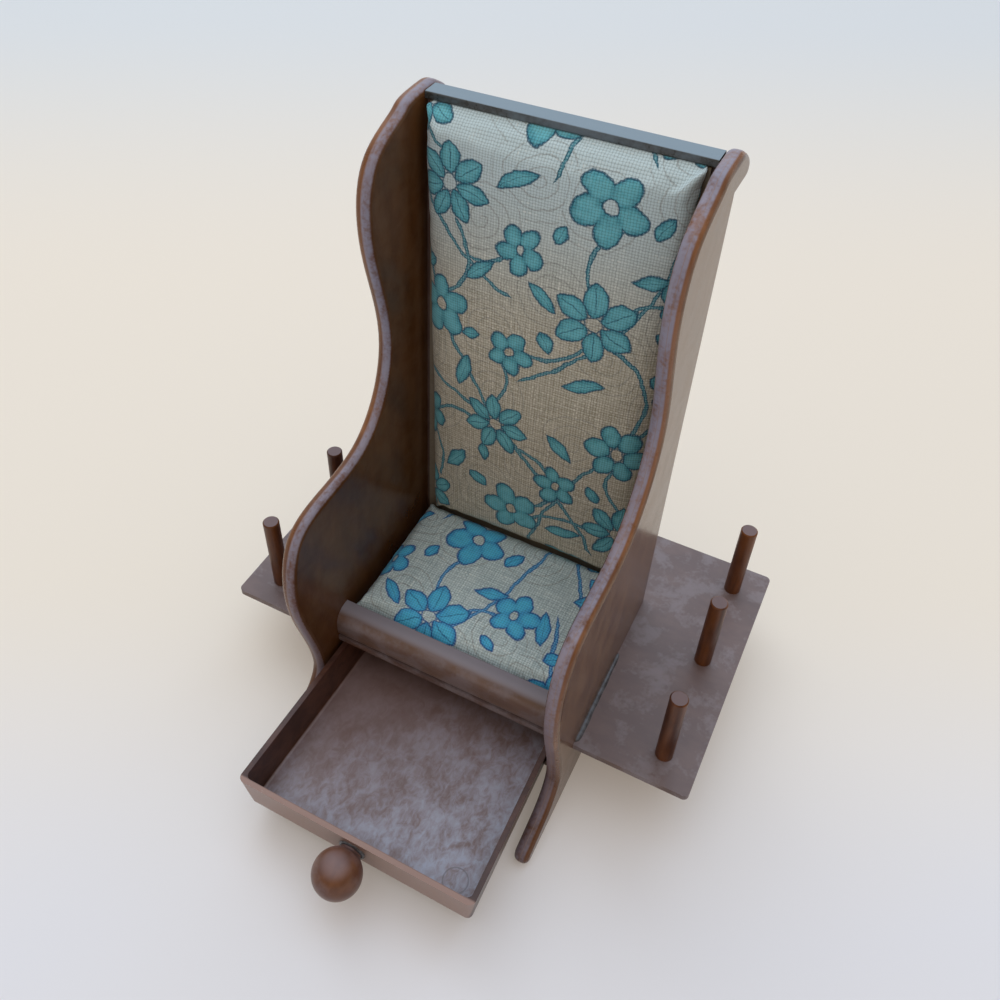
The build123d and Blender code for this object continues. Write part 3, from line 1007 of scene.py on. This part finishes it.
# %% [markdown]
# ## Set glue
# A repair left a glossy bead of clear glue in the corner between the right panel and the shelf,
# and a squeezed-out ring round the knob's neck. Both are lumpy: the bead is a small ring of
# points drawn out along the joint and made fatter and thinner on the way, and the collar is a
# small ring spun round the neck and kneaded with noise.

# %% Glue finish
glue = Finish("set_glue")
glue_place = glue.place()
clouds = glue.noise(glue_place, 420.0, 4.0, 0.6)
glue_finish = glue.set(
    base_color=glue.mix(clouds.step(0.35, 0.65), (0.04, 0.035, 0.036), (0.085, 0.085, 0.095)),
    roughness=0.1 + clouds * 0.16,
    normal=glue.bump(clouds, 0.1 * MM, 0.3),
)


def add_piece(name, shape, material):
    """Turns a finished bmesh into an object with smooth faces and one finish."""
    bmesh.ops.recalc_face_normals(shape, faces=shape.faces)
    for face in shape.faces:
        face.smooth = True
    mesh = bpy.data.meshes.new(name)
    shape.to_mesh(mesh)
    shape.free()
    mesh.materials.append(material)
    piece = bpy.data.objects.new(name, mesh)
    scene.collection.objects.link(piece)
    return piece


# %% Bead in the corner
bead_low, bead_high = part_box("joint_bead")
BEAD_RINGS = 46


def glue_bead():
    shape = bmesh.new()
    ring = bmesh.ops.create_circle(shape, segments=14, radius=1.0, cap_ends=True)["verts"]
    turn = Matrix.Rotation(math.pi / 2, 4, "X")
    bmesh.ops.transform(shape, matrix=turn, verts=ring)
    step = (bead_high.y - bead_low.y) / BEAD_RINGS
    bmesh.ops.translate(shape, vec=bead_low, verts=ring)
    rims = [list(ring)]
    edges = list({edge for vert in ring for edge in vert.link_edges})
    for _ in range(BEAD_RINGS):
        grown = bmesh.ops.extrude_edge_only(shape, edges=edges)["geom"]
        ring = [part for part in grown if isinstance(part, bmesh.types.BMVert)]
        edges = [part for part in grown if isinstance(part, bmesh.types.BMEdge)]
        edges = [edge for edge in edges if edge.verts[0] in ring and edge.verts[1] in ring]
        bmesh.ops.translate(shape, vec=(0, step, 0), verts=ring)
        rims.append(ring)
    bmesh.ops.contextual_create(shape, geom=edges)
    for place, rim in enumerate(rims):
        share = place / BEAD_RINGS
        end = min(1.0, math.sqrt(max(1 - (2 * share - 1) ** 10, 0.0)) + 0.08)
        fat = end * (0.62 - 0.2 * share + 0.12 * noise.noise(Vector((share * 7, 2.0, 0.0))))
        wide = (bead_high.x - bead_low.x) * fat
        high = (bead_high.z - bead_low.z) * fat
        for vert in rim:
            vert.co.x = bead_low.x + (vert.co.x - bead_low.x) * wide
            vert.co.z = bead_low.z + (vert.co.z - bead_low.z) * high
    return shape


bead = add_piece("glue_bead", glue_bead(), glue_finish)
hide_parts("joint_bead")
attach(bead, "chair")
print("bead", round((bead_high.y - bead_low.y) / MM, 1), "mm long")

# %% Ring round the knob's neck
collar_low, collar_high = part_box("knob_collar")


def glue_collar():
    middle = (collar_low + collar_high) / 2
    outer = (collar_high.x - collar_low.x) / 2
    thick = collar_high.y - collar_low.y
    shape = bmesh.new()
    ring = bmesh.ops.create_circle(shape, segments=12, radius=1.0)["verts"]
    bmesh.ops.scale(shape, vec=(outer * 0.16, thick * 0.62, 1.0), verts=ring)
    bmesh.ops.translate(shape, vec=(outer * 0.83, 0, 0), verts=ring)
    edges = list(shape.edges)
    bmesh.ops.spin(
        shape,
        geom=edges,
        cent=(0, 0, 0),
        axis=(0, 1, 0),
        angle=2 * math.pi,
        steps=56,
        use_merge=True,
    )
    for vert in shape.verts:
        out = Vector((vert.co.x, 0, vert.co.z)).normalized()
        lump = noise.noise(vert.co * 420) * 0.6 + noise.noise(vert.co * 1100) * 0.3
        one_side = max(0.0, out.dot(Vector((0.7, 0, 0.7)))) ** 2
        vert.co += out * (lump * 0.4 + one_side * 0.35) * MM
        vert.co.y *= 1 + lump * 0.5 + one_side * 0.2
    bmesh.ops.translate(shape, vec=middle, verts=shape.verts)
    return shape


collar = add_piece("glue_collar", glue_collar(), glue_finish)
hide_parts("knob_collar")
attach(collar, "drawer")
print("collar", len(collar.data.vertices), "points")

# %% [markdown]
# ## Floor and light
# The caddy stands on a plain pale sheet, cream in the middle, greyer near the camera and bluer
# far behind. It glows a little where the camera or a reflection sees it, which keeps it pale
# without more light on the caddy. The light is soft: the sky stands for a dim room with a pale
# horizon, a bright ceiling and a window high up behind, and one weak lamp, hidden from
# reflections, gives the shadows a side.

# %% Floor
floor_mesh = bmesh.new()
bmesh.ops.create_grid(floor_mesh, x_segments=1, y_segments=1, size=3.0)
bmesh.ops.translate(floor_mesh, vec=(0, 0, -0.05 * MM), verts=floor_mesh.verts)
paper = Finish("paper")
paper_place = paper.place()
paper_x, paper_y, _ = paper.split(paper_place)
FAR_WAY = (-0.455, 0.89)
back_along_floor = paper_y * FAR_WAY[1] + paper_x * FAR_WAY[0]
far = back_along_floor.step(0.2, 0.6)
near = back_along_floor.step(0.04, -0.1)
fibre = paper.noise(paper_place, 9.0, 2.0, 0.5)
paper_colour = paper.mix(far, shade(215, 209, 197), shade(190, 201, 209))
paper_colour = paper.mix(near * (0.85 + fibre * 0.3), paper_colour, shade(204, 208, 216))
rays = ("Is Camera Ray", "Is Glossy Ray", "Is Transmission Ray")
camera_ray, glossy_ray, through_ray = [paper.node("LightPath", {}, {}, ray) for ray in rays]
paper_seen = camera_ray + glossy_ray + through_ray
GLOW = 0.26
paper_finish = paper.set(
    base_color=paper_colour,
    roughness=0.7,
    ior=1.4,
    emission_color=paper.mix(paper_seen * GLOW, (0.0, 0.0, 0.0), (0.7, 0.6, 0.5)),
    emission_strength=1.0,
)
floor = add_piece("floor", floor_mesh, paper_finish)
print("floor", [round(side, 1) for side in floor.dimensions], "m")

# %% Sky
world = bpy.data.worlds.new("sky")
scene.world = world
world.use_nodes = True


class Sky(Finish):
    """The same helpers, for the nodes of the world."""

    def __init__(self, tree):
        self.tree = tree
        self.shader = tree.nodes["Background"]


WINDOW_WAY = Vector((-0.22, 0.6, 0.77)).normalized()[:]
sky = Sky(world.node_tree)
direction = sky.node("TexCoord", {}, {}, "Generated")
sky_x, sky_y, sky_z = sky.split(direction)
WARM_ROOM, COOL_ROOM = (0.42, 0.32, 0.24), (0.43, 0.46, 0.5)
CEILING, WINDOW, HORIZON = (1.14, 1.16, 1.2), (1.22, 1.4, 1.64), (0.86, 0.87, 0.87)
behind = (sky_y * 0.85 - sky_x * 0.4).step(-0.6, 0.7)
sky_colour = sky.mix(behind, WARM_ROOM, COOL_ROOM)
sky_colour = sky.mix(sky_z.step(0.62, 0.94), sky_colour, CEILING)
toward_window = sky.vector("DOT_PRODUCT", direction, WINDOW_WAY, out=1)
sky_colour = sky.mix(toward_window.step(0.74, 0.9), sky_colour, WINDOW)
sky_colour = sky.mix(sky_z.step(0.2, 0.03), sky_colour, HORIZON)
sky.plug(sky.shader.inputs["Color"], sky_colour)
sky.shader.inputs["Strength"].default_value = 1.0


# %% Lamp
def lamp(name, place, target, size, power, colour):
    light = bpy.data.objects.new(name, bpy.data.lights.new(name, "AREA"))
    light.data.shape = "DISK"
    light.data.size = size
    light.data.energy = power
    light.data.color = colour
    light.location = place
    light.rotation_euler = (Vector(target) - Vector(place)).to_track_quat("-Z", "Y").to_euler()
    scene.collection.objects.link(light)
    return light


window = lamp(
    "window",
    place=(-0.7, 0.5, 1.1),
    target=(0, 0, 0.05),
    size=0.9,
    power=1.9,
    colour=(1.0, 0.92, 0.8),
)
window.visible_glossy = False
